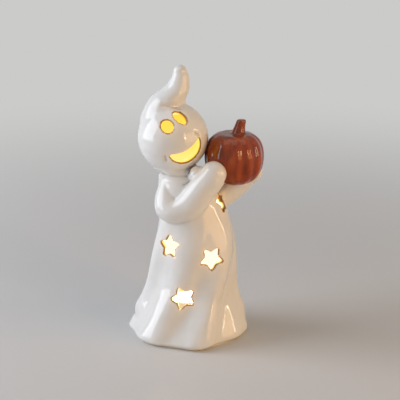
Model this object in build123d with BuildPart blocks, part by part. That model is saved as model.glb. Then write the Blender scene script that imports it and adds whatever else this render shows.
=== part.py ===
"""Ceramic ghost figure that holds a pumpkin and glows from inside.

The figure is slip-cast: a hollow shell for the head and robe, two arms and a pumpkin are
cast apart and luted together.  A battery light unit pushes into the opening in its base.
Millimetres, +Z up, the face looks towards -Y.  It is drawn about the middle of its base, on the
table, and exported about the middle of its own box.
"""

import os
from math import cos, pi, radians, sin, sqrt

from build123d import *

# Ceramic casting
WALL = 3.6
FOOT_FLOOR = 4.0
CUT_MARGIN = 5.0

# Robe: height, radius, depth of the folds, lean of the section towards +X and +Y
ROBE_STATIONS = (
    (0.0, 36.0, 1.8, -0.2, 0.8),
    (2.5, 37.6, 2.2, -0.2, 0.8),
    (6.5, 37.1, 2.5, 0.2, 0.6),
    (12.0, 34.8, 2.7, 0.8, 0.2),
    (20.0, 32.2, 2.7, 1.2, 0.0),
    (31.0, 28.9, 2.4, 2.1, 0.0),
    (46.0, 27.4, 1.8, 3.6, 0.0),
    (63.0, 26.3, 1.1, 4.6, 0.0),
    (80.0, 22.9, 0.5, 4.0, -1.0),
    (94.0, 19.8, 0.2, 0.9, -3.2),
    (104.0, 16.2, 0.1, -2.4, -4.2),
)
FOLDS = 6
FOLD_RIDGE = 12.0
FOLD_TWIST = 0.62
FOLD_RIPPLE = 0.3
INNER_FOLD = 0.5
OUTLINE_POINTS = 36

# Head, neck and curled tip
HEAD_RADIUS = 22.4
HEAD_LEAN = -9.3
HEAD_FORWARD = -1.5
NECK_OVERLAP = 6.0
NECK_RADIUS = 12.5
NECK_PASSAGE = 8.0
TIP_BACK = 3.0
# Tip stations: height above the head's middle, offset from it towards +X, radius
TIP_STATIONS = (
    (0.0, -1.0, 14.0),
    (8.0, -3.0, 17.7),
    (14.5, -4.3, 15.6),
    (21.0, -4.4, 12.6),
    (26.0, -2.1, 10.9),
    (29.6, 1.1, 9.2),
    (33.4, 3.4, 7.2),
    (38.0, 4.7, 5.7),
    (41.4, 4.6, 4.3),
)
TIP_END_RADIUS = 4.4

# Face, drawn on the head as seen along the way it looks
FACE_TURN = 16.0
FACE_RISE = 22.0
FACE_ROLL = 29.0
EYE_SPREAD = 14.3
EYE_RISE = 21.0
# Eyes: side of the face, width, height, tilt of the oval
EYES = (
    (-1, 7.4, 9.2, 0.0),
    (1, 6.6, 10.6, 8.0),
)
MOUTH_WIDTH = 21.5
MOUTH_TOP_SAG = 2.4
MOUTH_BOTTOM_SAG = 11.0
MOUTH_DROP = 24.5
MOUTH_SHIFT = -7.5
MOUTH_TILT = 2.0

# Stars cut in the robe: angle from the front towards +X, height, turn of the star
STAR_RADIUS = 8.3
STAR_INNER_RADIUS = 4.4
STARS = (
    (-40.0, 65.0, 4.0),
    (24.5, 58.0, 180.0),
    (-11.0, 32.7, 22.0),
    (77.0, 91.0, 0.0),
)
STAR_POINTS = 5

# Pumpkin
PUMPKIN_RADIUS = 18.85
PUMPKIN_HALF_HEIGHT = 16.8
PUMPKIN_RIBS = 12
PUMPKIN_GROOVE = 1.1
PUMPKIN_WALL = 3.6
PUMPKIN_BITE = 0.5
PUMPKIN_DROP = 13.0
PUMPKIN_FORWARD = -1.5
PUMPKIN_VENT = 1.5
PUMPKIN_OUTLINE_POINTS = 60
# Pumpkin stations: share of the half height, radius, share of the groove depth
PUMPKIN_STATIONS = (
    (-0.97, 6.4, 0.5),
    (-0.85, 12.2, 0.8),
    (-0.50, 17.1, 1.0),
    (0.0, 18.85, 1.0),
    (0.45, 18.1, 1.0),
    (0.80, 14.6, 0.9),
    (0.95, 9.2, 0.6),
)
STEM_HEIGHT = 8.8
STEM_ROOT = 2.0
STEM_BASE_RADIUS = 5.6
STEM_NECK_RADIUS = 3.6
STEM_TOP_RADIUS = 3.1
STEM_LEAN = 2.4
STEM_OFFSET = 2.2

# Arms: stations from the shoulder, each with its middle and radius; the hand follows the pumpkin
RIGHT_ARM = (
    ((-7.5, -5.5, 106.0), 6.0),
    ((-12.6, -11.8, 97.0), 7.2),
    ((-9.0, -17.6, 88.5), 8.2),
    ((0.0, -20.2, 92.0), 8.3),
    ((7.6, -20.6, 101.0), 8.6),
    ((12.2, -20.5, 107.0), 8.4),
)
RIGHT_HAND_RADIUS = 7.5
RIGHT_HAND_DIRECTION = (-13.0, -16.9, -5.8)
RIGHT_HAND_GRIP = 4.2
LEFT_ARM = (
    ((4.0, 9.0, 88.0), 8.0),
    ((14.0, 10.5, 87.0), 8.4),
    ((24.0, 9.0, 92.0), 8.0),
    ((33.0, 6.0, 100.0), 7.2),
)
LEFT_HAND_RADIUS = 6.2
LEFT_HAND_DIRECTION = (11.0, 5.0, -10.0)
LEFT_HAND_GRIP = 8.4
HAND_BULGE = 0.15

# Light unit: base disc, spigot and soft ring
TABLE_GAP = 0.8
DISC_THICKNESS = 2.8
SEAT_GAP = 0.1
FLANGE_RADIUS = 30.4
FLANGE_CLEARANCE = 0.4
OPENING_RADIUS = 29.0
PLUG_CLEARANCE = 0.1
RING_THICKNESS = 1.3
RING_LIP = 0.5
RING_FIT = 0.05
SPIGOT_WALL = 1.4
SPIGOT_HEIGHT = 4.2

# AAA cells, contacts and their box
CELL_RADIUS = 5.25
CELL_LENGTH = 44.5
CELL_GAP = 0.3
CELL_BUTTON_RADIUS = 1.9
CELL_BUTTON_LENGTH = 1.0
CELL_EDGE = 0.4
CONTACT_THICKNESS = 0.4
CONTACT_WIDTH = 9.0
CONTACT_TAB_WIDTH = 3.0
CONTACT_TAB_RISE = 2.0
SLOT_CLEARANCE = 0.2
SPRING_LENGTH = 2.5
SPRING_BASE_RADIUS = 3.4
SPRING_TOP_RADIUS = 2.3
SPRING_TURNS = 2.5
SPRING_WIRE = 0.4
BOX_WALL = 1.5
BOX_CORNER = 3.0

# Battery door on two hinge pins
DOOR_THICKNESS = 1.7
DOOR_GAP = 0.1
DOOR_SIDE_GAP = 0.25
DOOR_OVERHANG = 1.3
DOOR_LEDGE = 0.85
HINGE_RISE = 1.4
HINGE_BARREL_RADIUS = 0.9
HINGE_PIN_RADIUS = 0.7
HINGE_PIN_LENGTH = 1.3
HINGE_CLEARANCE = 0.05
HINGE_RELIEF = 0.3
NAIL_NOTCH_RADIUS = 4.0
NAIL_NOTCH_DEPTH = 0.9

# Slide switch
SWITCH_Y = 20.0
SWITCH_LENGTH = 8.6
SWITCH_WIDTH = 4.4
SWITCH_HEIGHT = 3.6
SWITCH_WALL = 0.7
SWITCH_TRAVEL = 2.5
SLIDER_LENGTH = 4.0
SLIDER_HEIGHT = 1.6
SLIDER_CLEARANCE = 0.15
KNOB_LENGTH = 2.0
KNOB_WIDTH = 1.6
KNOB_RECESS = 0.2
TERMINAL_PITCH = 2.5
TERMINAL_WIDTH = 0.9
TERMINAL_THICKNESS = 0.6
TERMINAL_HEIGHT = 2.0
TERMINAL_ROOT = 1.0

# Cover, circuit board and light-emitting diode
COVER_RADIUS = 11.5
COVER_WALL = 1.5
COVER_HEIGHT = 8.4
COVER_EDGE = 0.8
EAR_REACH = 14.8
EAR_RADIUS = 3.2
EAR_THICKNESS = 1.5
SCREW_RADIUS = 1.0
SCREW_HEAD_RADIUS = 1.9
SCREW_HEAD_HEIGHT = 1.2
SCREW_DEPTH = 2.6
SCREW_CLEARANCE = 0.05
SCREW_BOSS_RADIUS = 1.8
SCREW_BOSS_HEIGHT = 1.4
SCREW_SLOT_WIDTH = 0.5
SCREW_SLOT_DEPTH = 0.5
SCREW_CROSS = 2.2
BOARD_THICKNESS = 1.2
BOARD_POST_HEIGHT = 2.4
BOARD_POST_RADIUS = 1.2
BOARD_POST_REACH = 7.6
BOARD_CLEARANCE = 0.3
BOARD_STEP = 1.0
RESISTOR_LENGTH = 3.2
RESISTOR_WIDTH = 1.6
RESISTOR_HEIGHT = 0.7
RESISTOR_X = 4.8
LED_RADIUS = 2.5
LED_RIM_RADIUS = 2.9
LED_RIM_HEIGHT = 1.0
LED_HEIGHT = 8.6
LED_STANDOFF = 1.4
LED_CLEARANCE = 0.2
LEAD_RADIUS = 0.25
LEAD_PITCH = 2.54
LEAD_HOLE_CLEARANCE = 0.05
LEAD_TAIL = 0.5

# Insulated wires
WIRE_RADIUS = 0.6
WIRE_LIFT = 0.3
WIRE_BEND = 1.2
WIRE_SWEEP = 3.0
WIRE_INSET = 3.4
RED_WIRE_TURN = 18.5
WIRE_NOTCH_CLEARANCE = 0.3

# Heights and places that follow from the sizes above
ROBE_TOP = ROBE_STATIONS[-1][0]
HEAD_CENTRE = Vector(HEAD_LEAN, HEAD_FORWARD, ROBE_TOP - NECK_OVERLAP + 1.5 * HEAD_RADIUS)
UNIT_TOP_OF_DISC = TABLE_GAP + DISC_THICKNESS
RECESS_DEPTH = UNIT_TOP_OF_DISC + SEAT_GAP
RECESS_RADIUS = FLANGE_RADIUS + FLANGE_CLEARANCE
FLOOR_TOP = RECESS_DEPTH + FOOT_FLOOR


def robe_at(height):
    """Radius, fold depth and leans of the robe at a height, between its stations."""
    for low, high in zip(ROBE_STATIONS, ROBE_STATIONS[1:]):
        if height <= high[0]:
            break
    share = (height - low[0]) / (high[0] - low[0])
    return tuple(a + share * (b - a) for a, b in zip(low[1:], high[1:]))


def fold_wave(angle, height):
    """Height of the cloth folds at an angle, from -1 to 1; they wind round as they rise."""
    turn = radians(angle - FOLD_RIDGE - FOLD_TWIST * height)
    main = cos(FOLDS * turn)
    ripple = cos((FOLDS - 2) * turn + 1.0) + 0.6 * cos((FOLDS + 3) * turn)
    return (main + FOLD_RIPPLE * ripple) / (1 + FOLD_RIPPLE)


def on_robe(angle, height, inset=0.0, fold=1.0):
    """Point of the robe at an angle from the front (-Y) towards +X."""
    radius, depth, lean_x, lean_y = robe_at(height)
    reach = radius - inset + fold * depth * fold_wave(angle, height)
    return Vector(lean_x + reach * sin(radians(angle)), lean_y - reach * cos(radians(angle)), height)


def robe_outline(height, inset=0.0, fold=1.0):
    """Closed outline of the folded robe at a height, in the plane of that height."""
    points = []
    for step in range(OUTLINE_POINTS):
        place = on_robe(360 * step / OUTLINE_POINTS, height, inset, fold)
        points.append((place.X, place.Y))
    return points


def head_direction(turn, rise):
    """Direction from the head's middle, by angles in the face's own frame."""
    face = FACE_PLANE
    along = cos(radians(turn)) * cos(radians(rise))
    return (
        face.x_dir * (sin(radians(turn)) * cos(radians(rise)))
        + face.y_dir * sin(radians(rise))
        + face.z_dir * along
    ).normalized()


def head_plane(turn, rise):
    """Plane that touches the head where a feature of the face sits."""
    outward = head_direction(turn, rise)
    across = (FACE_PLANE.x_dir - outward * FACE_PLANE.x_dir.dot(outward)).normalized()
    return Plane(HEAD_CENTRE + outward * HEAD_RADIUS, x_dir=across, z_dir=outward)


def face_plane():
    """The face looks along -Y, turned, raised and rolled."""
    look = Vector(
        sin(radians(FACE_TURN)) * cos(radians(FACE_RISE)),
        -cos(radians(FACE_TURN)) * cos(radians(FACE_RISE)),
        sin(radians(FACE_RISE)),
    )
    level = Vector(cos(radians(FACE_TURN)), sin(radians(FACE_TURN)), 0)
    return Plane(HEAD_CENTRE, x_dir=level.rotate(Axis((0, 0, 0), look), FACE_ROLL), z_dir=look)


def robe_plane(angle, height):
    """Plane that lies on the robe at an angle and height, square to its slope."""
    slope = robe_at(height)[0] - robe_at(height + 1)[0]
    outward = Vector(sin(radians(angle)), -cos(radians(angle)), slope).normalized()
    level = Vector(cos(radians(angle)), sin(radians(angle)), 0)
    return Plane(on_robe(angle, height), x_dir=level, z_dir=outward)


def star_outline(turn):
    """Corners of a star, the first point up and then turned."""
    corners = []
    for step in range(2 * STAR_POINTS):
        radius = STAR_INNER_RADIUS if step % 2 else STAR_RADIUS
        angle = radians(90 + turn + 180 * step / STAR_POINTS)
        corners.append((radius * cos(angle), radius * sin(angle)))
    return corners


def pumpkin_outline(width, groove):
    """Closed outline of the ribbed pumpkin at one height."""
    points = []
    for step in range(PUMPKIN_OUTLINE_POINTS):
        angle = 2 * pi * step / PUMPKIN_OUTLINE_POINTS
        dip = 1 - abs(cos(PUMPKIN_RIBS * angle / 2)) ** 0.8
        reach = width - PUMPKIN_GROOVE * groove * dip
        points.append((reach * cos(angle), reach * sin(angle)))
    return points


def arm_stations(stations, hand, hand_radius):
    """Planes square to the run of an arm, with the radius at each."""
    places = [Vector(*place) for place, _ in stations] + [hand]
    sizes = [radius for _, radius in stations] + [hand_radius]
    planes = []
    for index, place in enumerate(places):
        before = places[max(index - 1, 0)]
        after = places[min(index + 1, len(places) - 1)]
        planes.append(Plane(place, z_dir=after - before))
    return zip(planes, sizes)


def hand_place(direction, hand_radius, grip):
    """Middle of a hand that presses on the pumpkin from a direction."""
    reach = PUMPKIN_RADIUS + hand_radius - grip
    return PUMPKIN_CENTRE + Vector(*direction).normalized() * reach


FACE_PLANE = face_plane()
PUMPKIN_CENTRE = Vector(
    HEAD_CENTRE.X
    + sqrt((HEAD_RADIUS + PUMPKIN_RADIUS - PUMPKIN_BITE) ** 2 - PUMPKIN_DROP**2 - PUMPKIN_FORWARD**2),
    HEAD_CENTRE.Y + PUMPKIN_FORWARD,
    HEAD_CENTRE.Z - PUMPKIN_DROP,
)
PUMPKIN_CROWN = PUMPKIN_CENTRE + Vector(STEM_OFFSET, 0, PUMPKIN_STATIONS[-1][0] * PUMPKIN_HALF_HEIGHT)
RIGHT_HAND = hand_place(RIGHT_HAND_DIRECTION, RIGHT_HAND_RADIUS, RIGHT_HAND_GRIP)
LEFT_HAND = hand_place(LEFT_HAND_DIRECTION, LEFT_HAND_RADIUS, LEFT_HAND_GRIP)


# Outer form of the shell: robe, head and curled tip
NECK = Plane((HEAD_CENTRE.X, HEAD_CENTRE.Y, HEAD_CENTRE.Z - HEAD_RADIUS + NECK_OVERLAP))

with BuildPart() as outer_form:
    for station in ROBE_STATIONS:
        with BuildSketch(Plane.XY.offset(station[0])):
            with BuildLine():
                Spline(robe_outline(station[0]), periodic=True)
            make_face()
    with BuildSketch(NECK):
        Circle(NECK_RADIUS)
    loft()
    with Locations(HEAD_CENTRE):
        Sphere(HEAD_RADIUS)
    for rise, offset_x, radius in TIP_STATIONS:
        with BuildSketch(Plane(HEAD_CENTRE + Vector(offset_x, TIP_BACK, rise))):
            Circle(radius)
    loft()
    with Locations(HEAD_CENTRE + Vector(TIP_STATIONS[-1][1], TIP_BACK, TIP_STATIONS[-1][0])):
        Sphere(TIP_END_RADIUS)

# Hollow of the shell: robe, neck passage and head
HOLLOW_HEIGHTS = [FLOOR_TOP] + [s[0] for s in ROBE_STATIONS if s[0] > FLOOR_TOP + WALL]

with BuildPart() as hollow_form:
    for height in HOLLOW_HEIGHTS:
        with BuildSketch(Plane.XY.offset(height)):
            with BuildLine():
                Spline(robe_outline(height, WALL, INNER_FOLD), periodic=True)
            make_face()
    with BuildSketch(NECK):
        Circle(NECK_PASSAGE)
    loft()
    with Locations(HEAD_CENTRE):
        Sphere(HEAD_RADIUS - WALL)

with BuildPart() as ghost_shell:
    add(outer_form.part)
    add(hollow_form.part, mode=Mode.SUBTRACT)
    with BuildSketch(Plane.XY):
        Circle(OPENING_RADIUS)
    extrude(amount=FLOOR_TOP, mode=Mode.SUBTRACT)
    with BuildSketch(Plane.XY):
        Circle(RECESS_RADIUS)
    extrude(amount=RECESS_DEPTH, mode=Mode.SUBTRACT)
    for side, width, height, tilt in EYES:
        with BuildSketch(head_plane(side * EYE_SPREAD, EYE_RISE).rotated((0, 0, tilt))):
            Ellipse(width / 2, height / 2)
        extrude(amount=WALL + CUT_MARGIN, both=True, mode=Mode.SUBTRACT)
    with BuildSketch(head_plane(MOUTH_SHIFT, -MOUTH_DROP).rotated((0, 0, MOUTH_TILT))):
        with BuildLine():
            ThreePointArc((-MOUTH_WIDTH / 2, 0), (0, -MOUTH_TOP_SAG), (MOUTH_WIDTH / 2, 0))
            ThreePointArc((MOUTH_WIDTH / 2, 0), (0, -MOUTH_BOTTOM_SAG), (-MOUTH_WIDTH / 2, 0))
        make_face()
    extrude(amount=WALL + CUT_MARGIN, both=True, mode=Mode.SUBTRACT)
    for angle, height, turn in STARS:
        with BuildSketch(robe_plane(angle, height)):
            with BuildLine():
                Polyline(star_outline(turn), close=True)
            make_face()
        extrude(amount=WALL + CUT_MARGIN, both=True, mode=Mode.SUBTRACT)
ghost_shell.part.label = "ghost_shell"

# Pumpkin: ribbed, hollow, with a vent that the left arm covers
with BuildPart() as pumpkin_form:
    for share, width, groove in PUMPKIN_STATIONS:
        with BuildSketch(Plane(PUMPKIN_CENTRE + Vector(0, 0, share * PUMPKIN_HALF_HEIGHT))):
            with BuildLine():
                Spline(pumpkin_outline(width, groove), periodic=True)
            make_face()
    loft()
    for rise, radius in ((-STEM_ROOT, STEM_BASE_RADIUS), (STEM_HEIGHT * 0.45, STEM_NECK_RADIUS),
                         (STEM_HEIGHT, STEM_TOP_RADIUS)):
        lean = STEM_LEAN * max(rise, 0) / STEM_HEIGHT
        with BuildSketch(Plane(PUMPKIN_CROWN + Vector(lean, 0, rise))):
            Circle(radius)
    loft()

with BuildPart() as pumpkin:
    add(pumpkin_form.part)
    with Locations(PUMPKIN_CENTRE):
        Sphere(PUMPKIN_HALF_HEIGHT - PUMPKIN_WALL, mode=Mode.SUBTRACT)
    with BuildSketch(Plane(PUMPKIN_CENTRE, z_dir=Vector(*LEFT_HAND_DIRECTION))):
        Circle(PUMPKIN_VENT)
    extrude(amount=2 * PUMPKIN_RADIUS, mode=Mode.SUBTRACT)
    with Locations(HEAD_CENTRE):
        Sphere(HEAD_RADIUS, mode=Mode.SUBTRACT)
pumpkin.part.label = "pumpkin"

# Arms, cut where they are luted to the shell and the pumpkin
with BuildPart() as right_arm:
    for place, radius in arm_stations(RIGHT_ARM, RIGHT_HAND, RIGHT_HAND_RADIUS):
        with BuildSketch(place):
            Circle(radius)
    loft()
    with Locations(RIGHT_HAND):
        Sphere(RIGHT_HAND_RADIUS + HAND_BULGE)
    add(outer_form.part, mode=Mode.SUBTRACT)
    add(pumpkin_form.part, mode=Mode.SUBTRACT)
right_arm.part.label = "right_arm"

with BuildPart() as left_arm:
    for place, radius in arm_stations(LEFT_ARM, LEFT_HAND, LEFT_HAND_RADIUS):
        with BuildSketch(place):
            Circle(radius)
    loft()
    with Locations(LEFT_HAND):
        Sphere(LEFT_HAND_RADIUS + HAND_BULGE)
    add(outer_form.part, mode=Mode.SUBTRACT)
    add(pumpkin_form.part, mode=Mode.SUBTRACT)
left_arm.part.label = "left_arm"

# Heights and places inside the light unit
DOOR_TOP = TABLE_GAP + DOOR_THICKNESS
LEDGE_BOTTOM = DOOR_TOP + DOOR_GAP
CELL_AXIS = LEDGE_BOTTOM + CELL_GAP + CELL_RADIUS
CELL_Y = CELL_RADIUS + CELL_GAP / 2
BAY_LENGTH = CELL_LENGTH + SPRING_LENGTH + 2 * CONTACT_THICKNESS
BAY_WIDTH = 4 * CELL_RADIUS + 3 * CELL_GAP
BAY_TOP = CELL_AXIS + CELL_RADIUS + CELL_GAP
BOX_TOP = BAY_TOP + BOX_WALL
PLATE_FACE = BAY_LENGTH / 2 - CONTACT_THICKNESS
SPIGOT_RADIUS = OPENING_RADIUS - PLUG_CLEARANCE - RING_THICKNESS
SPIGOT_TOP = UNIT_TOP_OF_DISC + SPIGOT_HEIGHT
HINGE_X = -(BAY_LENGTH / 2 + DOOR_OVERHANG)
HINGE_Z = TABLE_GAP + HINGE_RISE
DOOR_END = BAY_LENGTH / 2 + DOOR_OVERHANG
DOOR_HALF_WIDTH = BAY_WIDTH / 2 + DOOR_LEDGE
DOORWAY_HALF_WIDTH = DOOR_HALF_WIDTH + DOOR_SIDE_GAP
BOARD_BOTTOM = BOX_TOP + BOARD_POST_HEIGHT
BOARD_TOP = BOARD_BOTTOM + BOARD_THICKNESS
BOARD_RADIUS = COVER_RADIUS - COVER_WALL - BOARD_CLEARANCE
COVER_TOP = BOX_TOP + COVER_HEIGHT
EAR_TOP = BOX_TOP + EAR_THICKNESS
LED_BASE = BOARD_TOP + LED_STANDOFF
SWITCH_BOTTOM = UNIT_TOP_OF_DISC
SWITCH_TOP = SWITCH_BOTTOM + SWITCH_HEIGHT
SLIDER_BOTTOM = SWITCH_BOTTOM + SLIDER_CLEARANCE
SLIDER_REST = SWITCH_TRAVEL / 2
SLIDER_WIDTH = SWITCH_WIDTH - 2 * SWITCH_WALL - 2 * SLIDER_CLEARANCE
TERMINAL_TOP = SWITCH_TOP + TERMINAL_HEIGHT
WIRE_LEVEL = BOX_TOP + WIRE_RADIUS + WIRE_LIFT
POST_ANGLES = (30, 150, 250)
EAR_SIDES = (-1, 1)
TERMINAL_STEPS = (-1, 0, 1)
BLACK_WIRE_END = (BOARD_RADIUS - WIRE_INSET, -CELL_Y)
SWITCH_WIRE_END = (0, BOARD_RADIUS - WIRE_INSET)


def upright_box(x, y, bottom, top, length, width, mode=Mode.ADD):
    """Block with its middle at x, y, between two heights."""
    with BuildSketch(Plane((x, y, bottom))) as outline:
        Rectangle(length, width)
    extrude(outline.sketch, amount=top - bottom, mode=mode)


def upright_rod(x, y, bottom, top, radius, mode=Mode.ADD):
    """Round bar with its middle at x, y, between two heights."""
    with BuildSketch(Plane((x, y, bottom))) as outline:
        Circle(radius)
    extrude(outline.sketch, amount=top - bottom, mode=mode)


def cross_rod(start, end, radius, mode=Mode.ADD):
    """Round bar along Y on the hinge axis."""
    with BuildSketch(Plane((HINGE_X, start, HINGE_Z), x_dir=(1, 0, 0), z_dir=(0, 1, 0))) as outline:
        Circle(radius)
    extrude(outline.sketch, amount=end - start, mode=mode)


def cell_spring(face_x, y, along):
    """Conical spring on a contact plate, wound in quarter turns, that points along +X or -X."""
    quarters = int(4 * SPRING_TURNS)
    rise = SPRING_LENGTH - SPRING_WIRE
    corners = []
    for step in range(2 * quarters + 1):
        share = step / (2 * quarters)
        radius = SPRING_BASE_RADIUS + share * (SPRING_TOP_RADIUS - SPRING_BASE_RADIUS)
        angle = step * pi / 4
        height = share * rise + SPRING_WIRE / 4
        corners.append((face_x + along * height, y + radius * cos(angle), CELL_AXIS + radius * sin(angle)))
    with BuildLine() as run:
        for step in range(quarters):
            ThreePointArc(corners[2 * step], corners[2 * step + 1], corners[2 * step + 2])
    with BuildSketch(Plane(corners[0], z_dir=run.line % 0)) as outline:
        Circle(SPRING_WIRE / 2)
    sweep(outline.sketch, path=run.line)


def contact_plate(face_x, outer_x, low_y, high_y):
    """Flat contact between two Y edges, against the end wall of the battery bay."""
    upright_box(
        (face_x + outer_x) / 2, (low_y + high_y) / 2, UNIT_TOP_OF_DISC + CELL_GAP, BAY_TOP - CELL_GAP,
        CONTACT_THICKNESS, high_y - low_y,
    )


def wire(corners, radii):
    """Insulated wire: straight runs with rounded bends."""
    with BuildLine() as run:
        FilletPolyline(*corners, radius=radii)
    with BuildSketch(Plane(corners[0], z_dir=run.line % 0)) as outline:
        Circle(WIRE_RADIUS)
    sweep(outline.sketch, path=run.line)


# Housing: base disc, spigot, battery box, posts for the board and screw bosses
with BuildPart() as unit_housing:
    upright_rod(0, 0, TABLE_GAP, UNIT_TOP_OF_DISC, FLANGE_RADIUS)
    upright_rod(0, 0, UNIT_TOP_OF_DISC, SPIGOT_TOP, SPIGOT_RADIUS)
    upright_rod(0, 0, UNIT_TOP_OF_DISC, SPIGOT_TOP, SPIGOT_RADIUS - SPIGOT_WALL, Mode.SUBTRACT)
    with BuildSketch(Plane.XY.offset(UNIT_TOP_OF_DISC)):
        RectangleRounded(BAY_LENGTH + 2 * BOX_WALL, BAY_WIDTH + 2 * BOX_WALL, BOX_CORNER)
    extrude(amount=BOX_TOP - UNIT_TOP_OF_DISC)
    upright_box(0, 0, TABLE_GAP, BAY_TOP, BAY_LENGTH, BAY_WIDTH, Mode.SUBTRACT)
    for angle in POST_ANGLES:
        reach_x = BOARD_POST_REACH * cos(radians(angle))
        reach_y = BOARD_POST_REACH * sin(radians(angle))
        upright_rod(reach_x, reach_y, BOX_TOP, BOARD_BOTTOM, BOARD_POST_RADIUS)
    for side in EAR_SIDES:
        upright_rod(side * EAR_REACH, 0, BAY_TOP - SCREW_BOSS_HEIGHT, BAY_TOP, SCREW_BOSS_RADIUS)
        upright_rod(
            side * EAR_REACH, 0, BAY_TOP - SCREW_BOSS_HEIGHT, BOX_TOP,
            SCREW_RADIUS + SCREW_CLEARANCE, Mode.SUBTRACT,
        )
        upright_box(
            PLATE_FACE + CONTACT_THICKNESS / 2, side * CELL_Y, BAY_TOP, BOX_TOP,
            CONTACT_THICKNESS + 2 * SLOT_CLEARANCE, CONTACT_TAB_WIDTH + 2 * SLOT_CLEARANCE, Mode.SUBTRACT,
        )
    doorway_start = HINGE_X - HINGE_RISE - DOOR_SIDE_GAP
    doorway_end = DOOR_END + DOOR_SIDE_GAP
    upright_box(
        (doorway_start + doorway_end) / 2, 0, TABLE_GAP, LEDGE_BOTTOM,
        doorway_end - doorway_start, 2 * DOORWAY_HALF_WIDTH, Mode.SUBTRACT,
    )
    cross_rod(-DOORWAY_HALF_WIDTH, DOORWAY_HALF_WIDTH, HINGE_BARREL_RADIUS + HINGE_RELIEF, Mode.SUBTRACT)
    pin_reach = DOORWAY_HALF_WIDTH + HINGE_PIN_LENGTH
    cross_rod(-pin_reach, pin_reach, HINGE_PIN_RADIUS + HINGE_CLEARANCE, Mode.SUBTRACT)
    upright_box(
        0, SWITCH_Y, TABLE_GAP, UNIT_TOP_OF_DISC, KNOB_LENGTH + SWITCH_TRAVEL + 2 * SLIDER_CLEARANCE,
        KNOB_WIDTH + 2 * SLIDER_CLEARANCE, Mode.SUBTRACT,
    )
unit_housing.part.label = "unit_housing"

# Soft ring that grips the opening in the ceramic base
with BuildPart() as plug_ring:
    ring_radius = SPIGOT_RADIUS + RING_THICKNESS
    upright_rod(0, 0, RECESS_DEPTH, SPIGOT_TOP - RING_LIP, ring_radius)
    upright_rod(0, 0, RECESS_DEPTH, SPIGOT_TOP - RING_LIP, SPIGOT_RADIUS + RING_FIT, Mode.SUBTRACT)
plug_ring.part.label = "plug_ring"

# Battery door with its barrel, pins and nail notch
with BuildPart() as battery_door:
    upright_box(
        (HINGE_X + DOOR_END) / 2, 0, TABLE_GAP, DOOR_TOP, DOOR_END - HINGE_X, 2 * DOOR_HALF_WIDTH,
    )
    with BuildSketch(Plane((DOOR_END, 0, TABLE_GAP))):
        Circle(NAIL_NOTCH_RADIUS)
    extrude(amount=NAIL_NOTCH_DEPTH, mode=Mode.SUBTRACT)
    cross_rod(-DOOR_HALF_WIDTH, DOOR_HALF_WIDTH, HINGE_BARREL_RADIUS)
    pin_end = DOORWAY_HALF_WIDTH + HINGE_PIN_LENGTH - DOOR_SIDE_GAP
    cross_rod(-pin_end, pin_end, HINGE_PIN_RADIUS)
battery_door.part.label = "battery_door"

# Cells lie side by side with their poles turned
CELLS = []
for side, name in ((1, "cell_front"), (-1, "cell_back")):
    with BuildPart() as cell:
        tip = side * PLATE_FACE
        shoulder = tip - side * CELL_BUTTON_LENGTH
        with BuildSketch(Plane((shoulder, side * CELL_Y, CELL_AXIS), z_dir=(-side, 0, 0))):
            Circle(CELL_RADIUS)
        extrude(amount=CELL_LENGTH - CELL_BUTTON_LENGTH)
        fillet(cell.edges(), CELL_EDGE)
        with BuildSketch(Plane((shoulder, side * CELL_Y, CELL_AXIS), z_dir=(side, 0, 0))):
            Circle(CELL_BUTTON_RADIUS)
        extrude(amount=CELL_BUTTON_LENGTH)
    cell.part.label = name
    CELLS.append(cell)

# Contacts
with BuildPart() as contact_bridge:
    contact_plate(-PLATE_FACE, -PLATE_FACE - CONTACT_THICKNESS, -CELL_Y - CONTACT_WIDTH / 2,
                  CELL_Y + CONTACT_WIDTH / 2)
    cell_spring(-PLATE_FACE, CELL_Y, 1)
contact_bridge.part.label = "contact_bridge"

with BuildPart() as contact_positive:
    contact_plate(PLATE_FACE, PLATE_FACE + CONTACT_THICKNESS, CELL_Y - CONTACT_WIDTH / 2,
                  CELL_Y + CONTACT_WIDTH / 2)
    upright_box(PLATE_FACE + CONTACT_THICKNESS / 2, CELL_Y, CELL_AXIS, BOX_TOP + CONTACT_TAB_RISE,
                CONTACT_THICKNESS, CONTACT_TAB_WIDTH)
contact_positive.part.label = "contact_positive"

with BuildPart() as contact_negative:
    contact_plate(PLATE_FACE, PLATE_FACE + CONTACT_THICKNESS, -CELL_Y - CONTACT_WIDTH / 2,
                  -CELL_Y + CONTACT_WIDTH / 2)
    upright_box(PLATE_FACE + CONTACT_THICKNESS / 2, -CELL_Y, CELL_AXIS, BOX_TOP + CONTACT_TAB_RISE,
                CONTACT_THICKNESS, CONTACT_TAB_WIDTH)
    cell_spring(PLATE_FACE, -CELL_Y, -1)
contact_negative.part.label = "contact_negative"

# Slide switch on the disc, worked by a knob through the underside
with BuildPart() as switch_body:
    upright_box(0, SWITCH_Y, SWITCH_BOTTOM, SWITCH_TOP, SWITCH_LENGTH, SWITCH_WIDTH)
    upright_box(
        0, SWITCH_Y, SWITCH_BOTTOM, SLIDER_BOTTOM + SLIDER_HEIGHT + SLIDER_CLEARANCE,
        SLIDER_LENGTH + SWITCH_TRAVEL + 2 * SLIDER_CLEARANCE, SWITCH_WIDTH - 2 * SWITCH_WALL, Mode.SUBTRACT,
    )
    for step in TERMINAL_STEPS:
        upright_box(step * TERMINAL_PITCH, SWITCH_Y, SWITCH_TOP - TERMINAL_ROOT, SWITCH_TOP,
                    TERMINAL_WIDTH, TERMINAL_THICKNESS, Mode.SUBTRACT)
switch_body.part.label = "switch_body"

with BuildPart() as switch_terminals:
    for step in TERMINAL_STEPS:
        upright_box(step * TERMINAL_PITCH, SWITCH_Y, SWITCH_TOP - TERMINAL_ROOT, TERMINAL_TOP,
                    TERMINAL_WIDTH, TERMINAL_THICKNESS)
switch_terminals.part.label = "switch_terminals"

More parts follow.
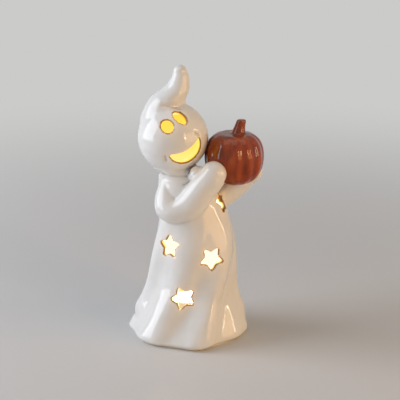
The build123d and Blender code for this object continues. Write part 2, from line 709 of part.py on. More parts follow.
with BuildPart() as switch_slider:
    upright_box(SLIDER_REST, SWITCH_Y, SLIDER_BOTTOM, SLIDER_BOTTOM + SLIDER_HEIGHT, SLIDER_LENGTH, SLIDER_WIDTH)
    upright_box(SLIDER_REST, SWITCH_Y, TABLE_GAP + KNOB_RECESS, SLIDER_BOTTOM, KNOB_LENGTH, KNOB_WIDTH)
switch_slider.part.label = "switch_slider"

# Cover over the circuit board, held by two screws through its ears
with BuildPart() as unit_cover:
    upright_rod(0, 0, BOX_TOP, COVER_TOP, COVER_RADIUS)
    for side in EAR_SIDES:
        upright_rod(side * EAR_REACH, 0, BOX_TOP, EAR_TOP, EAR_RADIUS)
        upright_box(side * EAR_REACH / 2, 0, BOX_TOP, EAR_TOP, EAR_REACH, 2 * EAR_RADIUS)
    upright_rod(0, 0, BOX_TOP, BOARD_TOP + SEAT_GAP, COVER_RADIUS - COVER_WALL, Mode.SUBTRACT)
    upright_rod(0, 0, BOX_TOP, COVER_TOP - COVER_WALL, COVER_RADIUS - COVER_WALL - BOARD_STEP, Mode.SUBTRACT)
    upright_rod(0, 0, BOX_TOP, COVER_TOP, LED_RADIUS + LED_CLEARANCE, Mode.SUBTRACT)
    fillet(unit_cover.edges().filter_by(GeomType.CIRCLE).group_by(Axis.Z)[-1].sort_by(SortBy.RADIUS)[-1],
           COVER_EDGE)
    for side in EAR_SIDES:
        upright_rod(side * EAR_REACH, 0, BOX_TOP, EAR_TOP, SCREW_RADIUS + SCREW_CLEARANCE, Mode.SUBTRACT)
    notch = 2 * (WIRE_RADIUS + WIRE_NOTCH_CLEARANCE)
    notch_top = WIRE_LEVEL + notch / 2
    upright_box(COVER_RADIUS, BLACK_WIRE_END[1], BOX_TOP, notch_top, COVER_RADIUS, notch, Mode.SUBTRACT)
    upright_box(SWITCH_WIRE_END[0], COVER_RADIUS, BOX_TOP, notch_top, notch, 4 * COVER_WALL, Mode.SUBTRACT)
unit_cover.part.label = "unit_cover"

with BuildPart() as cover_screws:
    for side in EAR_SIDES:
        upright_rod(side * EAR_REACH, 0, BOX_TOP - SCREW_DEPTH, EAR_TOP, SCREW_RADIUS)
        upright_rod(side * EAR_REACH, 0, EAR_TOP, EAR_TOP + SCREW_HEAD_HEIGHT, SCREW_HEAD_RADIUS)
        slot_floor = EAR_TOP + SCREW_HEAD_HEIGHT - SCREW_SLOT_DEPTH
        for length, width in ((SCREW_CROSS, SCREW_SLOT_WIDTH), (SCREW_SLOT_WIDTH, SCREW_CROSS)):
            upright_box(side * EAR_REACH, 0, slot_floor, EAR_TOP + SCREW_HEAD_HEIGHT, length, width,
                        Mode.SUBTRACT)
cover_screws.part.label = "cover_screws"

# Circuit board with its resistor and light-emitting diode
with BuildPart() as circuit_board:
    upright_rod(0, 0, BOARD_BOTTOM, BOARD_TOP, BOARD_RADIUS)
    for side in (-1, 1):
        upright_rod(side * LEAD_PITCH / 2, 0, BOARD_BOTTOM, BOARD_TOP, LEAD_RADIUS + LEAD_HOLE_CLEARANCE,
                    Mode.SUBTRACT)
circuit_board.part.label = "circuit_board"

with BuildPart() as resistor:
    upright_box(RESISTOR_X, 0, BOARD_TOP, BOARD_TOP + RESISTOR_HEIGHT, RESISTOR_WIDTH, RESISTOR_LENGTH)
resistor.part.label = "resistor"

with BuildPart() as led_lens:
    upright_rod(0, 0, LED_BASE, LED_BASE + LED_RIM_HEIGHT, LED_RIM_RADIUS)
    upright_rod(0, 0, LED_BASE, LED_BASE + LED_HEIGHT - LED_RADIUS, LED_RADIUS)
    with Locations((0, 0, LED_BASE + LED_HEIGHT - LED_RADIUS)):
        Sphere(LED_RADIUS)
led_lens.part.label = "led_lens"

with BuildPart() as led_leads:
    for side in (-1, 1):
        upright_rod(side * LEAD_PITCH / 2, 0, BOARD_BOTTOM - LEAD_TAIL, LED_BASE, LEAD_RADIUS)
led_leads.part.label = "led_leads"

# Wires
with BuildPart() as battery_wire_red:
    wire(
        (
            (PLATE_FACE, CELL_Y, WIRE_LEVEL),
            (RED_WIRE_TURN, CELL_Y, WIRE_LEVEL),
            (RED_WIRE_TURN * 0.66, SWITCH_Y - 4, WIRE_LEVEL),
            (TERMINAL_PITCH, SWITCH_Y, WIRE_LEVEL - 2.4),
            (TERMINAL_PITCH, SWITCH_Y, TERMINAL_TOP),
        ),
        (WIRE_SWEEP, WIRE_SWEEP, WIRE_SWEEP / 1.5),
    )
battery_wire_red.part.label = "battery_wire_red"

with BuildPart() as switch_wire:
    wire(
        (
            (0, SWITCH_Y, TERMINAL_TOP),
            (0, SWITCH_Y, WIRE_LEVEL),
            (*SWITCH_WIRE_END, WIRE_LEVEL),
            (*SWITCH_WIRE_END, BOARD_BOTTOM),
        ),
        (WIRE_SWEEP, WIRE_BEND),
    )
switch_wire.part.label = "switch_wire"

with BuildPart() as battery_wire_black:
    wire(
        (
            (PLATE_FACE, -CELL_Y, WIRE_LEVEL),
            (*BLACK_WIRE_END, WIRE_LEVEL),
            (*BLACK_WIRE_END, BOARD_BOTTOM),
        ),
        (WIRE_BEND,),
    )
battery_wire_black.part.label = "battery_wire_black"

PIECES = (
    ghost_shell, right_arm, left_arm, pumpkin,
    unit_housing, unit_cover, plug_ring, cover_screws,
    circuit_board, resistor, led_lens, led_leads,
    *CELLS, contact_bridge, contact_positive, contact_negative,
    switch_body, switch_terminals, switch_slider, battery_door,
    battery_wire_red, switch_wire, battery_wire_black,
)
BOXES = [piece.part.bounding_box() for piece in PIECES]
MIDDLE_X = (min(box.min.X for box in BOXES) + max(box.max.X for box in BOXES)) / 2
MIDDLE_Y = (min(box.min.Y for box in BOXES) + max(box.max.Y for box in BOXES)) / 2
FRAME = Location((-MIDDLE_X, -MIDDLE_Y, 0))
os.makedirs("parts", exist_ok=True)
for piece in PIECES:
    export_step(piece.part.moved(FRAME), "parts/" + piece.part.label + ".step")
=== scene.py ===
"""Looks of a glazed ceramic ghost that holds a pumpkin and glows from inside.

Everything is in metres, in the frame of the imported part; sizes below are in millimetres where
their name ends in MM.
"""

from math import cos, radians, sin

import bpy
import numpy as np
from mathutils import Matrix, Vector
from mathutils.bvhtree import BVHTree
from mathutils.kdtree import KDTree


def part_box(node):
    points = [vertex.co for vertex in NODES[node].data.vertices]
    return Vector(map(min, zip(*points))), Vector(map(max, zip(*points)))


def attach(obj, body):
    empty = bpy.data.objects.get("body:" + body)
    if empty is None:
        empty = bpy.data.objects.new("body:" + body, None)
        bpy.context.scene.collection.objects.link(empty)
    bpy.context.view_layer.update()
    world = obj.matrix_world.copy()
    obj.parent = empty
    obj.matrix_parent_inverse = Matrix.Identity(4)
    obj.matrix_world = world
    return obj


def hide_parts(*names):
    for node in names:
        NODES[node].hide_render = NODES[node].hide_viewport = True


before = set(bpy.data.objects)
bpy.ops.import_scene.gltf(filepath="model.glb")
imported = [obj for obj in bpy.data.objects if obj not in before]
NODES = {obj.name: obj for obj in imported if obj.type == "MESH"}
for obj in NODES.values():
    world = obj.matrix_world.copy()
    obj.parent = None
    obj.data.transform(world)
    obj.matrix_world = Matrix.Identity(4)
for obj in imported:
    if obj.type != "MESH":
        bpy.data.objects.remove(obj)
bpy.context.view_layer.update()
MM = 0.001

# Camera, matched to the photograph
MM_PER_PIXEL = 0.64
IMAGE_PIXELS = 400
CAMERA_DISTANCE_MM = 900.0
CAMERA_RISE = 17.0
AIM_FROM_AXIS_MM = (7.68, -0.09, 89.69)
SENSOR_MM = 36.0
BACKGROUND = "#cbcbca"
FLOOR_SIZE = 14.0
FLOOR_LEVEL_MM = -0.02
FLOOR_OPENING_MM = 30.4
FOOT_CONTACT_MM = 0.6

# Glazed ghost: how finely the casting is meshed and how far the glaze rounds it
CASTING_GRID_MM = 0.69
GLAZE_ROUNDING = 6
CUT_ROUNDING = 1
FOLD_TOP_MM = 82.0
LUTING_LAP_MM = 0.4
LINING_KEPT = 0.04
WALL_MM = 3.6
CUT_LINE_MM = 0.6
BISQUE_HEIGHT_MM = 0.7
RIM_GLOW = 0.22
RIM_GLOW_MM = 1.8

# Glazed pumpkin
PUMPKIN_GRID_MM = 0.55
PUMPKIN_ROUNDING = 14

# Middle line of the hollow above the table: height, across, towards the back
CORE_MM = (
    (0.0, 0.0, 0.0),
    (60.0, 4.4, 0.0),
    (92.0, 1.2, -2.6),
    (110.0, -7.5, -2.4),
    (131.6, -9.3, -1.5),
)
NECK_HEIGHT_MM = 112.0
HEAD_RADIUS_MM = 22.4
# Robe's reach from that line: height, radius with its folds
REACH_MM = (
    (0.0, 44.0),
    (12.0, 40.0),
    (31.0, 33.5),
    (63.0, 29.0),
    (80.0, 24.4),
    (94.0, 20.9),
    (110.0, 17.0),
)

# Folds pressed into the robe: angle from the front at the hem, degrees it winds per mm, depth in mm
# (above 0 a crest, below 0 a trough), half width in mm, height where it ends
FOLDS = (
    (-53.0, 0.85, 0.4, 5.0, 76.0),
    (-26.0, 0.84, -1.6, 7.5, 62.0),
    (2.0, 0.72, 0.4, 4.5, 60.0),
    (30.0, 0.55, -1.3, 6.0, 58.0),
    (52.0, 0.35, 0.3, 4.0, 66.0),
    (72.0, 0.25, -1.3, 6.0, 60.0),
    (112.0, 0.2, -1.6, 7.0, 56.0),
    (150.0, 0.3, -1.6, 7.5, 62.0),
    (195.0, 0.4, -1.6, 7.5, 62.0),
    (232.0, 0.4, -1.4, 6.5, 58.0),
    (-104.0, 0.3, -1.5, 6.0, 52.0),
)

# Underside of the hem, drawn in below the edge of the cloth, down to the foot ring
HEM_UNDERCUT_MM = 2.8
HEM_EDGE_MM = 3.3
FOOT_RADIUS_MM = 31.6

# Swellings of the cloth above the hem: angle from the front, height, lift, half width and half height
SWELLINGS_MM = (
    (100.0, 17.5, 1.5, 9.0, 5.0),
    (97.0, 9.5, -0.8, 9.0, 2.4),
    (-94.0, 18.0, 1.2, 9.0, 4.6),
    (-94.0, 10.5, -0.7, 9.0, 2.6),
    (-92.0, 2.6, 1.3, 8.0, 2.4),
)

# Crease where the curled tip folds over the forehead, and smile lines: places from the head's middle
HOOD_CREASE_MM = ((-6.0, -9.8, 23.0), (-1.0, -9.8, 22.3), (5.0, -7.8, 21.3))
HOOD_DEPTH_MM = 1.4
HOOD_WIDTH_MM = 1.6
HOOD_SIDE_MM = -7.0
HOOD_LOW_MM = -6.0
HOOD_HIGH_MM = 27.0
HOOD_FADE_MM = 4.0
HOOD_ROUNDING = 32
SMILE_LINES_MM = (((-4.6, -21.0, -7.6), (-4.2, -19.9, -10.4)), ((14.6, -15.2, 6.6), (17.2, -14.2, 5.0)))
SMILE_DEPTH_MM = 1.2
SMILE_WIDTH_MM = 1.1

# Cloth bunched between the chin and the raised hand: place above the table, radius
BUNCH_MM = (6.3, -16.3, 111.3)
BUNCH_RADIUS_MM = 5.6

# Neckline of the robe under the chin: height from the head's middle, lift, half width
NECKLINE_MM = ((-19.4, 1.2, 1.5), (-22.0, -1.2, 1.2), (-24.4, 0.8, 1.6))
NECK_RADIUS_MM = 19.0

# Lamp light in the hollow: height of the lit walls that send it on, and how far each source reaches
LIT_ABOVE_MM = 15.0
LAMP_WATTS = 0.05
LAMP_REACH_MM = 40.0
BOUNCE_HEIGHTS_MM = (42.0, 66.0)
BOUNCE_REACH_MM = 26.0
HEAD_REACH_MM = 17.0
BOUNCE_SHARE = 0.8


def middle(node):
    """Middle of a CAD node's box."""
    low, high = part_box(node)
    return (low + high) / 2


AXIS = Vector((middle("unit_housing").x, middle("unit_housing").y, 0.0))
LAMP = Vector((middle("led_lens").x, middle("led_lens").y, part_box("led_lens")[1].z))
HEAD = AXIS + Vector((CORE_MM[-1][1], CORE_MM[-1][2], CORE_MM[-1][0])) * MM


# Mesh helpers

def select_only(*objects):
    """Selects these objects alone; the first is active."""
    bpy.ops.object.select_all(action="DESELECT")
    for item in objects:
        item.select_set(True)
    bpy.context.view_layer.objects.active = objects[0]


def casting_of(node, name):
    """Copy of a CAD node's mesh under a new name, its loose triangles merged."""
    piece = bpy.data.objects.new(name, NODES[node].data.copy())
    bpy.context.scene.collection.objects.link(piece)
    select_only(piece)
    bpy.ops.mesh.customdata_custom_splitnormals_clear()
    bpy.ops.object.mode_set(mode="EDIT")
    bpy.ops.mesh.select_all(action="SELECT")
    bpy.ops.mesh.remove_doubles(threshold=0.01 * MM)
    bpy.ops.object.mode_set(mode="OBJECT")
    return piece


def apply_modifier(piece, kind, **settings):
    """Adds a modifier, sets it and applies it."""
    select_only(piece)
    modifier = piece.modifiers.new(kind.lower(), kind)
    for key, value in settings.items():
        setattr(modifier, key, value)
    bpy.ops.object.modifier_apply(modifier=modifier.name)


def points_and_normals(mesh):
    """Vertices and their normals as arrays."""
    count = len(mesh.vertices)
    points = np.zeros(3 * count)
    normals = np.zeros(3 * count)
    mesh.vertices.foreach_get("co", points)
    mesh.vertices.foreach_get("normal", normals)
    return points.reshape(-1, 3), normals.reshape(-1, 3)


def neighbour_mean(mesh, values):
    """Mean of a value over the vertices joined to each vertex by an edge."""
    ends = np.zeros(2 * len(mesh.edges), dtype=int)
    mesh.edges.foreach_get("vertices", ends)
    ends = ends.reshape(-1, 2)
    total = np.zeros_like(values)
    count = np.zeros(len(values))
    for here, there in ((0, 1), (1, 0)):
        np.add.at(total, ends[:, here], values[ends[:, there]])
        np.add.at(count, ends[:, here], 1)
    count = np.maximum(count, 1)
    return total / (count[:, None] if values.ndim == 2 else count)


def bend_of(mesh, spread):
    """How sharply the surface bends, in 1/mm: above 0 on edges, below 0 in creases."""
    points, normals = points_and_normals(mesh)
    step = neighbour_mean(mesh, points) - points
    bend = -(step * normals).sum(1) / (CASTING_GRID_MM * MM) / CASTING_GRID_MM
    for _ in range(spread):
        bend = neighbour_mean(mesh, bend)
    return bend


def store(mesh, name, values):
    """Keeps a value for each vertex under a name that a material can read."""
    attribute = mesh.attributes.new(name, "FLOAT", "POINT")
    attribute.data.foreach_set("value", np.asarray(values, dtype=np.float32))


def core_of(points):
    """Place on the hollow's middle line that each vertex stands round."""
    heights, across, back = np.array(CORE_MM).T * MM
    core = points.copy()
    core[:, 0] = AXIS.x + np.interp(points[:, 2], heights, across)
    core[:, 1] = AXIS.y + np.interp(points[:, 2], heights, back)
    core[points[:, 2] > NECK_HEIGHT_MM * MM] = HEAD
    return core


def clear_way(tree, point, normal, place):
    """Whether nothing stands between a vertex and a place."""
    start = Vector(point + normal * 0.12 * MM)
    way = place - start
    return tree.ray_cast(start, way.normalized(), way.length)[0] is None


def hollow_side(mesh):
    """Marks the vertices of the hollow, says how deep in the wall each lies, and marks the cut walls."""
    points, normals = points_and_normals(mesh)
    core = core_of(points)
    outward = points - core
    outward /= np.linalg.norm(outward, axis=1)[:, None]
    facing = (normals * outward).sum(1)
    tree = tree_of(mesh)
    inside = np.zeros(len(points), dtype=bool)
    heights, reaches = np.array(REACH_MM).T * MM
    reach = np.interp(points[:, 2], heights, reaches)
    reach[points[:, 2] > NECK_HEIGHT_MM * MM] = (HEAD_RADIUS_MM + 0.4) * MM
    near = np.linalg.norm(points - core, axis=1) < reach
    for index in np.nonzero(near & (facing < 0.6))[0]:
        inside[index] = clear_way(tree, points[index], normals[index], Vector(core[index]))
    outside = np.nonzero(~inside & (facing > 0.25))[0]
    skin = nearest(points[outside])
    depth = np.zeros(len(points))
    for index in np.nonzero(inside)[0]:
        depth[index] = skin.find(points[index])[2] / MM
    walls = inside & (facing > -0.5) & (depth < WALL_MM - 1) & (points[:, 2] > LIT_ABOVE_MM * MM)
    return inside, depth, walls


def tree_of(mesh):
    """Search tree of a mesh's faces, for rays."""
    points, _ = points_and_normals(mesh)
    return BVHTree.FromPolygons(points.tolist(), [tuple(face.vertices) for face in mesh.polygons])


def nearest(points):
    """Search tree of points, for the nearest."""
    tree = KDTree(len(points))
    for index, point in enumerate(points):
        tree.insert(point, index)
    tree.balance()
    return tree


def lamp_light(mesh, inside):
    """Light that reaches each vertex of the hollow from the lamp and from the lit walls."""
    points, normals = points_and_normals(mesh)
    tree = tree_of(mesh)
    sources = [(LAMP + Vector((0, 0, 2 * MM)), 1.0, LAMP_REACH_MM)]
    for height in BOUNCE_HEIGHTS_MM:
        place = core_of(np.array([[AXIS.x, AXIS.y, height * MM]]))[0]
        sources.append((Vector(place), BOUNCE_SHARE, BOUNCE_REACH_MM))
    sources.append((HEAD - Vector((0, 0, 6 * MM)), BOUNCE_SHARE, HEAD_REACH_MM))
    light = np.zeros(len(points))
    lit = np.nonzero(inside & (points[:, 2] > LIT_ABOVE_MM * MM))[0]
    for place, strength, reach in sources:
        towards = np.array(place) - points
        distance = np.linalg.norm(towards, axis=1)
        facing = (towards * normals).sum(1) / distance
        for index in lit[facing[lit] > 0.02]:
            if clear_way(tree, points[index], normals[index], place):
                fall = 1 / (1 + (distance[index] / (reach * MM)) ** 2)
                light[index] += strength * fall * (0.45 + 0.55 * facing[index])
    for _ in range(2):
        light = 0.5 * light + 0.5 * neighbour_mean(mesh, light)
    return light


# Material helpers

def colour(code):
    """Linear colour of an sRGB hex code."""
    channels = [int(code[start:start + 2], 16) / 255 for start in (1, 3, 5)]
    linear = [c / 12.92 if c <= 0.04045 else ((c + 0.055) / 1.055) ** 2.4 for c in channels]
    return (*linear, 1.0)


def add_node(tree, kind, settings=None, inputs=None, stops=None):
    """Adds a node with its settings, its input values or links, and the stops of a ramp."""
    node = tree.nodes.new(kind)
    for key, value in (settings or {}).items():
        setattr(node, key, value)
    for key, value in (inputs or {}).items():
        if isinstance(value, bpy.types.NodeSocket):
            tree.links.new(value, node.inputs[key])
        else:
            node.inputs[key].default_value = value
    for index, (place, code) in enumerate(stops or ()):
        elements = node.color_ramp.elements
        stop = elements[index] if index < 2 else elements.new(place)
        stop.position = place
        stop.color = colour(code)
    return node


def new_material(name):
    """Material with its node tree and its surface shader."""
    material = bpy.data.materials.new(name)
    material.use_nodes = True
    tree = material.node_tree
    return material, tree, tree.nodes["Principled BSDF"]


def object_place(tree):
    """Place on the piece, in metres."""
    return add_node(tree, "ShaderNodeTexCoord").outputs["Object"]


def white_glaze():
    """White tin glaze over slip-cast earthenware: glossy and a little wavy, greyed in the creases by
    painted shade, brown along the cut edges, partly where it runs thin over the clay and partly painted
    shade on the cut walls, brown over the hollow's lining as painted shade, and lit from inside where the
    lamp reaches.
    The clay lets a little of that light through beside the cuts."""
    material, tree, surface = new_material("white_glaze")
    place = object_place(tree)
    pooling_and_shade = add_node(tree, "ShaderNodeAttribute", {"attribute_name": "pool_and_crease_shade"}).outputs["Fac"]
    cut = add_node(tree, "ShaderNodeAttribute", {"attribute_name": "cut_edge"}).outputs["Fac"]
    shaded_lining = add_node(tree, "ShaderNodeAttribute", {"attribute_name": "shaded_lining"}).outputs["Fac"]
    light = add_node(tree, "ShaderNodeAttribute", {"attribute_name": "lamp_light"}).outputs["Fac"]
    rim = add_node(tree, "ShaderNodeAttribute", {"attribute_name": "rim_glow"}).outputs["Fac"]
    cloud = add_node(tree, "ShaderNodeTexNoise", None,
                     {"Vector": place, "Scale": 1 / (22 * MM), "Detail": 3.0})
    body = add_node(tree, "ShaderNodeValToRGB", None, {"Fac": cloud.outputs["Fac"]},
                    [(0.3, "#e6e4df"), (0.7, "#eeede9")])
    # Painted shade greys the creases.
    pool_and_shade_mix = add_node(tree, "ShaderNodeMix", {"data_type": "RGBA"},
                    {"Factor": pooling_and_shade, "A": body.outputs["Color"], "B": colour("#b9b3a6")})
    # Painted shade: the hollow's lining and the cut walls are darkened brown, and only the painted lamp
    # glow lights them.
    walls = add_node(tree, "ShaderNodeMix", {"data_type": "RGBA"},
                     {"Factor": shaded_lining, "A": pool_and_shade_mix.outputs["Result"], "B": colour("#84623a")})
    # Brown rim line: glaze running thin over the clay, and painted shade on the cut walls.
    edge = add_node(tree, "ShaderNodeMix", {"data_type": "RGBA"},
                    {"Factor": cut, "A": walls.outputs["Result"], "B": colour("#6e4a26")})
    height = add_node(tree, "ShaderNodeSeparateXYZ", None, {"Vector": place}).outputs["Z"]
    bare = add_node(tree, "ShaderNodeMath", {"operation": "LESS_THAN"},
                    {0: height, 1: BISQUE_HEIGHT_MM * MM})
    foot = add_node(tree, "ShaderNodeMix", {"data_type": "RGBA"},
                    {"Factor": bare.outputs[0], "A": edge.outputs["Result"], "B": colour("#d8c8ae")})
    gloss = add_node(tree, "ShaderNodeMapRange", None,
                     {"Value": bare.outputs[0], "To Min": 0.08, "To Max": 0.75})
    glow = add_node(tree, "ShaderNodeValToRGB", None, {"Fac": light},
                    [(0.0, "#000000"), (0.06, "#6a3a0a"), (0.16, "#d99a26"), (0.3, "#f8cf48"),
                     (0.5, "#fde48c"), (0.8, "#fff8e0")])
    through = add_node(tree, "ShaderNodeMix", {"data_type": "RGBA"},
                       {"Factor": rim, "A": glow.outputs["Color"], "B": colour("#e9a53c")})
    drain = add_node(tree, "ShaderNodeMapping", None, {"Vector": place, "Scale": (1.0, 1.0, 0.45)})
    wave = add_node(tree, "ShaderNodeTexNoise", None,
                    {"Vector": drain.outputs["Vector"], "Scale": 1 / (9 * MM), "Detail": 1.0})
    peel = add_node(tree, "ShaderNodeTexNoise", None,
                    {"Vector": place, "Scale": 1 / (2.4 * MM), "Detail": 2.0})
    broad = add_node(tree, "ShaderNodeBump", None,
                     {"Height": wave.outputs["Fac"], "Distance": 0.6 * MM, "Strength": 0.7})
    fine = add_node(tree, "ShaderNodeBump", None,
                    {"Height": peel.outputs["Fac"], "Distance": 0.03 * MM, "Strength": 0.5,
                     "Normal": broad.outputs["Normal"]})
    tree.links.new(foot.outputs["Result"], surface.inputs["Base Color"])
    tree.links.new(gloss.outputs["Result"], surface.inputs["Roughness"])
    tree.links.new(through.outputs["Result"], surface.inputs["Emission Color"])
    tree.links.new(fine.outputs["Normal"], surface.inputs["Normal"])
    surface.inputs["Emission Strength"].default_value = 1.0
    surface.inputs["IOR"].default_value = 1.55
    return material


def pumpkin_glaze():
    """Iron-brown glaze: glossy and see-through, so it is dark in the grooves, where it pools and where
    painted shade darkens them, and orange-brown where it runs thin over the ribs, with runs that drain
    down the sides."""
    material, tree, surface = new_material("pumpkin_glaze")
    place = object_place(tree)
    pooling_and_shade = add_node(tree, "ShaderNodeAttribute", {"attribute_name": "pool_and_crease_shade"}).outputs["Fac"]
    thin = add_node(tree, "ShaderNodeAttribute", {"attribute_name": "glaze_thin"}).outputs["Fac"]
    stretch = add_node(tree, "ShaderNodeMapping", None, {"Vector": place, "Scale": (1.0, 1.0, 0.25)})
    runs = add_node(tree, "ShaderNodeTexNoise", None,
                    {"Vector": stretch.outputs["Vector"], "Scale": 1 / (4.5 * MM), "Detail": 4.0})
    body = add_node(tree, "ShaderNodeValToRGB", None, {"Fac": runs.outputs["Fac"]},
                    [(0.28, "#6e2700"), (0.5, "#943a00"), (0.75, "#b05004")])
    # Dark grooves: the glaze pools there, and painted shade darkens them too.
    pool_and_shade_mix = add_node(tree, "ShaderNodeMix", {"data_type": "RGBA"},
                    {"Factor": pooling_and_shade, "A": body.outputs["Color"], "B": colour("#3a1200")})
    ridge = add_node(tree, "ShaderNodeMix", {"data_type": "RGBA"},
                     {"Factor": thin, "A": pool_and_shade_mix.outputs["Result"], "B": colour("#b0560e")})
    wave = add_node(tree, "ShaderNodeTexNoise", None,
                    {"Vector": place, "Scale": 1 / (6 * MM), "Detail": 2.0})
    bump = add_node(tree, "ShaderNodeBump", None,
                    {"Height": wave.outputs["Fac"], "Distance": 0.3 * MM, "Strength": 0.6})
    tree.links.new(ridge.outputs["Result"], surface.inputs["Base Color"])
    tree.links.new(bump.outputs["Normal"], surface.inputs["Normal"])
    surface.inputs["Roughness"].default_value = 0.07
    surface.inputs["IOR"].default_value = 1.44
    return material


def moulded_plastic(name, dark, light, grain_mm, roughness):
    """Moulded plastic or rubber: an even colour with a fine spark-eroded grain that softens its shine."""
    material, tree, surface = new_material(name)
    place = object_place(tree)
    tone = add_node(tree, "ShaderNodeTexNoise", None,
                    {"Vector": place, "Scale": 1 / (9 * MM), "Detail": 3.0})
    body = add_node(tree, "ShaderNodeValToRGB", None, {"Fac": tone.outputs["Fac"]},
                    [(0.3, dark), (0.7, light)])
    grain = add_node(tree, "ShaderNodeTexNoise", None,
                     {"Vector": place, "Scale": 1 / (grain_mm * MM), "Detail": 2.0})
    shine = add_node(tree, "ShaderNodeMapRange", None,
                     {"Value": grain.outputs["Fac"], "To Min": roughness - 0.06,
                      "To Max": roughness + 0.06})
    bump = add_node(tree, "ShaderNodeBump", None,
                    {"Height": grain.outputs["Fac"], "Distance": 0.02 * MM, "Strength": 0.4})
    tree.links.new(body.outputs["Color"], surface.inputs["Base Color"])
    tree.links.new(shine.outputs["Result"], surface.inputs["Roughness"])
    tree.links.new(bump.outputs["Normal"], surface.inputs["Normal"])
    return material


def nickel_plate():
    """Nickel plate on pressed steel: grey and bright, with fine drawing lines and tarnished patches."""
    material, tree, surface = new_material("nickel_plate")
    place = object_place(tree)
    drawn = add_node(tree, "ShaderNodeMapping", None, {"Vector": place, "Scale": (1.0, 1.0, 0.08)})
    lines = add_node(tree, "ShaderNodeTexNoise", None,
                     {"Vector": drawn.outputs["Vector"], "Scale": 1 / (0.25 * MM), "Detail": 2.0})
    marks = add_node(tree, "ShaderNodeTexNoise", None,
                     {"Vector": place, "Scale": 1 / (2.5 * MM), "Detail": 4.0})
    body = add_node(tree, "ShaderNodeValToRGB", None, {"Fac": marks.outputs["Fac"]},
                    [(0.35, "#a9a6a0"), (0.65, "#cac7c1")])
    shine = add_node(tree, "ShaderNodeMapRange", None,
                     {"Value": lines.outputs["Fac"], "To Min": 0.2, "To Max": 0.42})
    bump = add_node(tree, "ShaderNodeBump", None,
                    {"Height": lines.outputs["Fac"], "Distance": 0.01 * MM, "Strength": 0.5})
    tree.links.new(body.outputs["Color"], surface.inputs["Base Color"])
    tree.links.new(shine.outputs["Result"], surface.inputs["Roughness"])
    tree.links.new(bump.outputs["Normal"], surface.inputs["Normal"])
    surface.inputs["Metallic"].default_value = 1.0
    return material


def solder_mask():
    """Green solder mask on a glass-fibre board: satin, paler over the copper tracks."""
    material, tree, surface = new_material("solder_mask")
    place = object_place(tree)
    tracks = add_node(tree, "ShaderNodeTexBrick", {"offset": 0.35, "squash": 1.0},
                      {"Vector": place, "Scale": 1 / (9 * MM), "Mortar Size": 0.06, "Mortar Smooth": 0.2,
                       "Brick Width": 0.8, "Row Height": 0.35, "Color1": colour("#15532c"),
                       "Color2": colour("#185a30"), "Mortar": colour("#2c7a43")})
    weave = add_node(tree, "ShaderNodeTexNoise", None,
                     {"Vector": place, "Scale": 1 / (0.5 * MM), "Detail": 2.0})
    shine = add_node(tree, "ShaderNodeMapRange", None,
                     {"Value": weave.outputs["Fac"], "To Min": 0.25, "To Max": 0.45})
    bump = add_node(tree, "ShaderNodeBump", None,
                    {"Height": tracks.outputs["Fac"], "Distance": 0.03 * MM, "Strength": 0.6})
    tree.links.new(tracks.outputs["Color"], surface.inputs["Base Color"])
    tree.links.new(shine.outputs["Result"], surface.inputs["Roughness"])
    tree.links.new(bump.outputs["Normal"], surface.inputs["Normal"])
    return material


def warm_epoxy():
    """Cast epoxy of a lit warm-white lamp: smooth, brightest at its dome, amber towards the rim."""
    material, tree, surface = new_material("warm_epoxy")
    place = object_place(tree)
    height = add_node(tree, "ShaderNodeSeparateXYZ", None, {"Vector": place}).outputs["Z"]
    low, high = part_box("led_lens")
    rise = add_node(tree, "ShaderNodeMapRange", None,
                    {"Value": height, "From Min": low.z, "From Max": high.z})
    cloud = add_node(tree, "ShaderNodeTexNoise", None,
                     {"Vector": place, "Scale": 1 / (1.5 * MM), "Detail": 1.0})
    mixed = add_node(tree, "ShaderNodeMath", {"operation": "MULTIPLY_ADD"},
                     {0: cloud.outputs["Fac"], 1: 0.2, 2: rise.outputs["Result"]})
    glow = add_node(tree, "ShaderNodeValToRGB", None, {"Fac": mixed.outputs[0]},
                    [(0.0, "#f2b648"), (0.3, "#ffe6a4"), (0.8, "#fffaf0")])
    tree.links.new(glow.outputs["Color"], surface.inputs["Emission Color"])
    surface.inputs["Base Color"].default_value = colour("#7a5a2c")
    surface.inputs["Emission Strength"].default_value = 1.6
    surface.inputs["Roughness"].default_value = 0.08
    return material


def cell_jacket():
    """Printed foil jacket of a dry cell: plain slate blue with a pale band, bare steel at both ends."""
    material, tree, surface = new_material("cell_jacket")
    place = object_place(tree)
    low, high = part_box("cell_front")
    along = add_node(tree, "ShaderNodeSeparateXYZ", None, {"Vector": place}).outputs["X"]
    share = add_node(tree, "ShaderNodeMapRange", None,
                     {"Value": along, "From Min": low.x, "From Max": high.x})
    print_of = add_node(tree, "ShaderNodeValToRGB", None, {"Fac": share.outputs["Result"]},
                        [(0.0, "#b8b6b0"), (0.04, "#2f4858"), (0.22, "#c9c7bf"), (0.28, "#2f4858"),
                         (0.96, "#b8b6b0")])
    print_of.color_ramp.interpolation = "CONSTANT"
    ends = add_node(tree, "ShaderNodeValToRGB", None, {"Fac": share.outputs["Result"]},
                    [(0.0, "#ffffff"), (0.04, "#000000"), (0.96, "#ffffff")])
    ends.color_ramp.interpolation = "CONSTANT"
    foil = add_node(tree, "ShaderNodeTexNoise", None,
                    {"Vector": place, "Scale": 1 / (1.2 * MM), "Detail": 3.0})
    shine = add_node(tree, "ShaderNodeMapRange", None,
                     {"Value": foil.outputs["Fac"], "To Min": 0.22, "To Max": 0.36})
    tree.links.new(print_of.outputs["Color"], surface.inputs["Base Color"])
    tree.links.new(ends.outputs["Color"], surface.inputs["Metallic"])
    tree.links.new(shine.outputs["Result"], surface.inputs["Roughness"])
    return material


# Pieces

